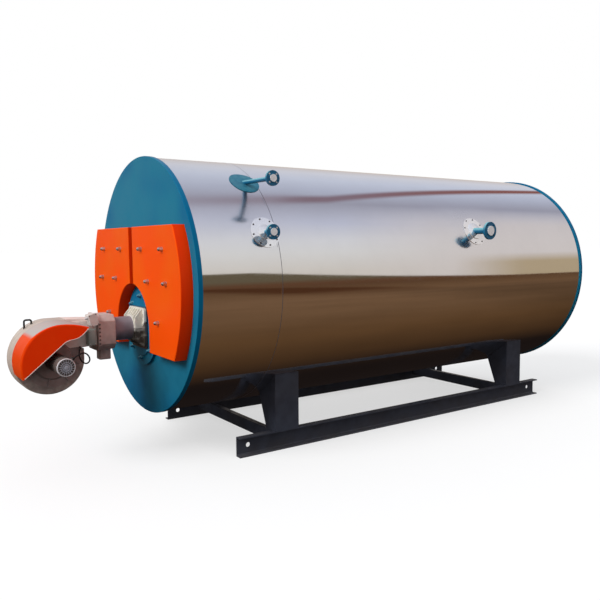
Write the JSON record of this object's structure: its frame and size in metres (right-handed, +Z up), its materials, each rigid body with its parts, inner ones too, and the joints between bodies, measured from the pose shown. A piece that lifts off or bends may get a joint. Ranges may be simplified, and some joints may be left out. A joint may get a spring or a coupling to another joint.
{
  "type": "horizontal fire-tube boiler",
  "caption": "Horizontal fire-tube boiler with polished cladding, blue end plates, orange smoke-box covers, a forced-draught burner, flanged side nozzles and a skid base.",
  "frame": {"origin": "on the floor, under the middle of the overall box", "axes": "+X along the boiler from the burner end to the rear, +Y to the far side, +Z up"},
  "size_m": [5.806, 2.29, 2.41],
  "materials": {
    "polished_cladding": "mirror polished stainless sheet",
    "bare_steel": "mill finish",
    "blue_paint": "gloss paint",
    "orange_paint": "gloss paint",
    "black_paint": "satin paint",
    "cast_mounting": "as cast",
    "dark_plate": "satin paint",
    "tube_grey": "satin paint",
    "cast_body": "as cast, painted",
    "box_light": "satin paint",
    "box_green": "satin paint",
    "scroll_grey": "satin paint",
    "fan_dark": "satin paint",
    "motor_dark": "satin paint",
    "cowl_grey": "moulded",
    "black_rubber": "cable sheath",
    "handle_black": "satin paint",
    "saddle_teal": "gloss paint",
    "rosette_steel": "polished",
    "cap_white": "moulded"
  },
  "bodies": {
    "root": {"casing_front_course": "polished_cladding", "casing_rear_course": "polished_cladding", "pressure_drum": "bare_steel", "tube_plates": "bare_steel", "front_end_plate": "blue_paint", "rear_end_plate": "blue_paint", "burner_plate": "blue_paint", "smokebox_cover_near": "orange_paint", "smokebox_cover_far": "orange_paint", "intake_hood": "orange_paint", "burner_backing_plate": "dark_plate", "burner_mounting": "cast_mounting", "blast_tube": "tube_grey", "burner_body": "cast_body", "burner_stub": "cast_body", "junction_box": "box_light", "control_box": "box_green", "fan_scroll": "scroll_grey", "outlet_duct": "scroll_grey", "fan_plate": "fan_dark", "fan_motor": "motor_dark", "motor_cowl": "cowl_grey", "motor_lead": "black_rubber", "lifting_handle": "handle_black", "upper_gauge_nozzle_near": "blue_paint", "upper_gauge_nozzle_far": "blue_paint", "lower_gauge_nozzle_near": "blue_paint", "lower_gauge_nozzle_far": "blue_paint", "feed_nozzle_near": "blue_paint", "feed_nozzle_far": "blue_paint", "gauge_saddles": "saddle_teal", "rosettes_near": "rosette_steel", "rosettes_far": "rosette_steel", "nozzle_caps_near": "cap_white", "nozzle_caps_far": "cap_white", "skid_near": "black_paint", "skid_far": "black_paint", "front_leg_near": "black_paint", "front_leg_far": "black_paint", "rear_leg_near": "black_paint", "rear_leg_far": "black_paint", "front_cross_member": "black_paint", "rear_cross_member": "black_paint", "flue_collar": "blue_paint", "clean_out_cover": "blue_paint"}
  },
  "joints": []
}
